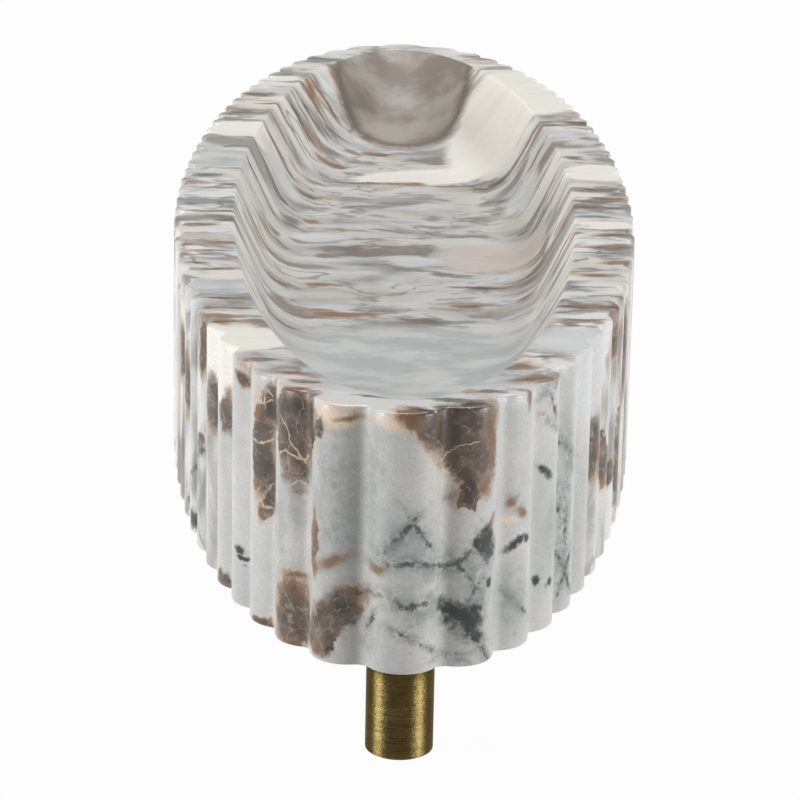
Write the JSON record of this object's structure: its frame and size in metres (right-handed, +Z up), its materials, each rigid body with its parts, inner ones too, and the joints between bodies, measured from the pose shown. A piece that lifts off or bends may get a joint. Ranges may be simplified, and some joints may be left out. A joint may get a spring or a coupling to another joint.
{
  "type": "footed stone bowl",
  "caption": "Long oval stone trough bowl with a vertically lobed wall, a flat rim and a shallow smooth hollow, raised on short round brass feet.",
  "frame": {"origin": "middle of the bowl on the surface that it stands on", "axes": "+Z up; the bowl's length runs along Y, with the pictured front end towards -Y; +X is to the right seen from the front end"},
  "size_m": [0.152, 0.607, 0.098],
  "materials": {
    "stone": "honed white stone with brown and grey veins",
    "brass": "brushed, aged",
    "rubber_pad": "matte",
    "steel_stud": "zinc plated",
    "insert_brass": "turned, bare"
  },
  "bodies": {
    "root": {"bowl_body": "stone", "foot_front": "brass", "foot_rear": "brass", "foot_left": "brass", "foot_right": "brass", "pad_front": "rubber_pad", "pad_rear": "rubber_pad", "pad_left": "rubber_pad", "pad_right": "rubber_pad", "stud_front": "steel_stud", "stud_rear": "steel_stud", "stud_left": "steel_stud", "stud_right": "steel_stud", "insert_front": "insert_brass", "insert_rear": "insert_brass", "insert_left": "insert_brass", "insert_right": "insert_brass"}
  },
  "joints": []
}
